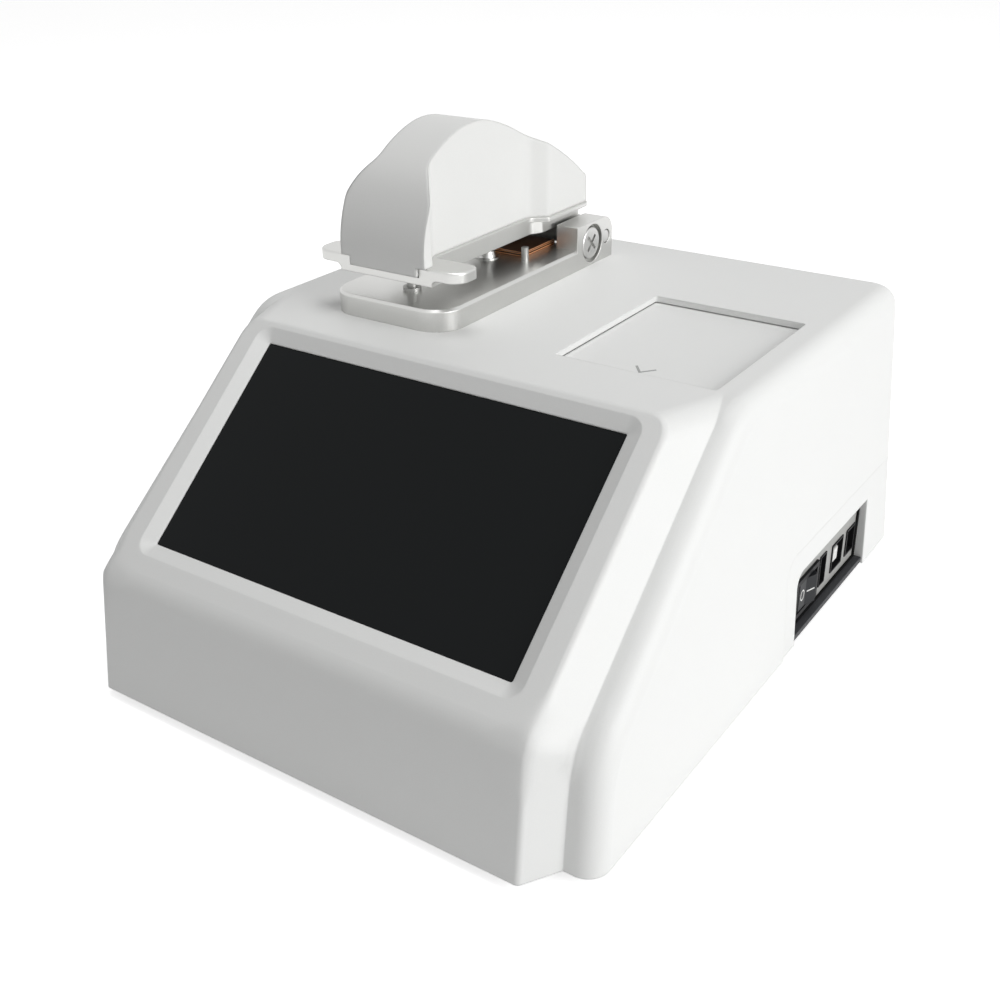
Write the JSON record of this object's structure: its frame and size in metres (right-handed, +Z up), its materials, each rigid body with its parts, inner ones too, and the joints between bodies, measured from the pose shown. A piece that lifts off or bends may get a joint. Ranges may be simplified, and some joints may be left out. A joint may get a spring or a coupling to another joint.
{
  "type": "microvolume spectrophotometer",
  "caption": "Benchtop microvolume spectrophotometer with a sloped touch screen, a hinged measuring arm over a pedestal, a sliding cuvette lid and a side connector bay.",
  "frame": {"origin": "centre of the footprint, at the bottom of the rubber feet", "axes": "+X to the right as seen by the user, +Y to the back, +Z up"},
  "size_m": [0.224, 0.276, 0.1902],
  "materials": {
    "white_plastic": "fine moulded texture, white",
    "dark_plastic": "dark grey moulded plastic",
    "black_plastic": "black, slightly glossy",
    "rubber": "black rubber",
    "screen_glass": "black-backed cover glass of a dark touch screen",
    "sheet_steel": "plain sheet steel",
    "panel_paint": "light grey matte paint",
    "circuit_board": "green solder mask",
    "brass": "turned brass",
    "anodised_aluminium": "satin anodised",
    "black_metal": "black anodised, matte",
    "steel": "turned stainless steel",
    "bronze_film": "bronze-coloured flat cable film"
  },
  "bodies": {
    "housing": {"upper_housing": "white_plastic", "base_tray": "dark_plastic", "rubber_feet": "rubber", "foot_screws": "steel", "tray_screws": "steel", "screen_glass": "screen_glass", "display_module": "black_plastic", "display_bracket": "sheet_steel", "display_screws": "steel", "connector_panel": "panel_paint", "panel_screws": "steel", "rocker_switch_body": "black_plastic", "host_port": "sheet_steel", "device_port": "sheet_steel", "power_inlet": "black_plastic", "connector_board": "circuit_board", "connector_board_screws": "steel", "main_board": "circuit_board", "board_standoffs": "brass", "board_screws": "steel", "pillar_screws": "steel", "optics_chassis": "anodised_aluminium", "chassis_pillars": "anodised_aluminium", "chassis_screws": "steel", "spectrometer_module": "black_metal", "lower_fibre": "black_plastic", "cuvette_holder": "black_metal", "holder_screws": "steel", "lens_tube": "black_metal", "lamp_module": "anodised_aluminium", "detector_board": "circuit_board", "lid_rails": "dark_plastic", "rail_screws": "steel", "pedestal_base": "anodised_aluminium", "pedestal_base_screws": "steel", "lower_pedestal": "steel", "flex_fold": "bronze_film", "rest_pins": "steel", "front_rest_post": "steel", "hinge_pin": "steel", "cheek_screws": "steel"},
    "arm": {"arm_plate": "anodised_aluminium", "arm_cover": "white_plastic", "arm_cover_screws": "steel", "upper_pedestal": "steel", "arm_optics_block": "black_metal", "hinge_bushes": "brass"},
    "lid": {"cuvette_lid": "white_plastic"},
    "rocker": {"rocker_button": "black_plastic"}
  },
  "joints": [
    {"name": "arm_hinge", "type": "hinge", "parent": "housing", "child": "arm", "pos_m": [-0.0413, 0.091, 0.132], "axis": [-1, 0, 0], "range_deg": [0, 80]},
    {"name": "lid_slide", "type": "slide", "parent": "housing", "child": "lid", "axis": [0, -1, 0], "range_m": [0, 0.016]},
    {"name": "rocker_tilt", "type": "hinge", "parent": "housing", "child": "rocker", "pos_m": [0.102, 0.044, 0.019], "axis": [0, 0, 1], "range_deg": [0, 20]}
  ]
}
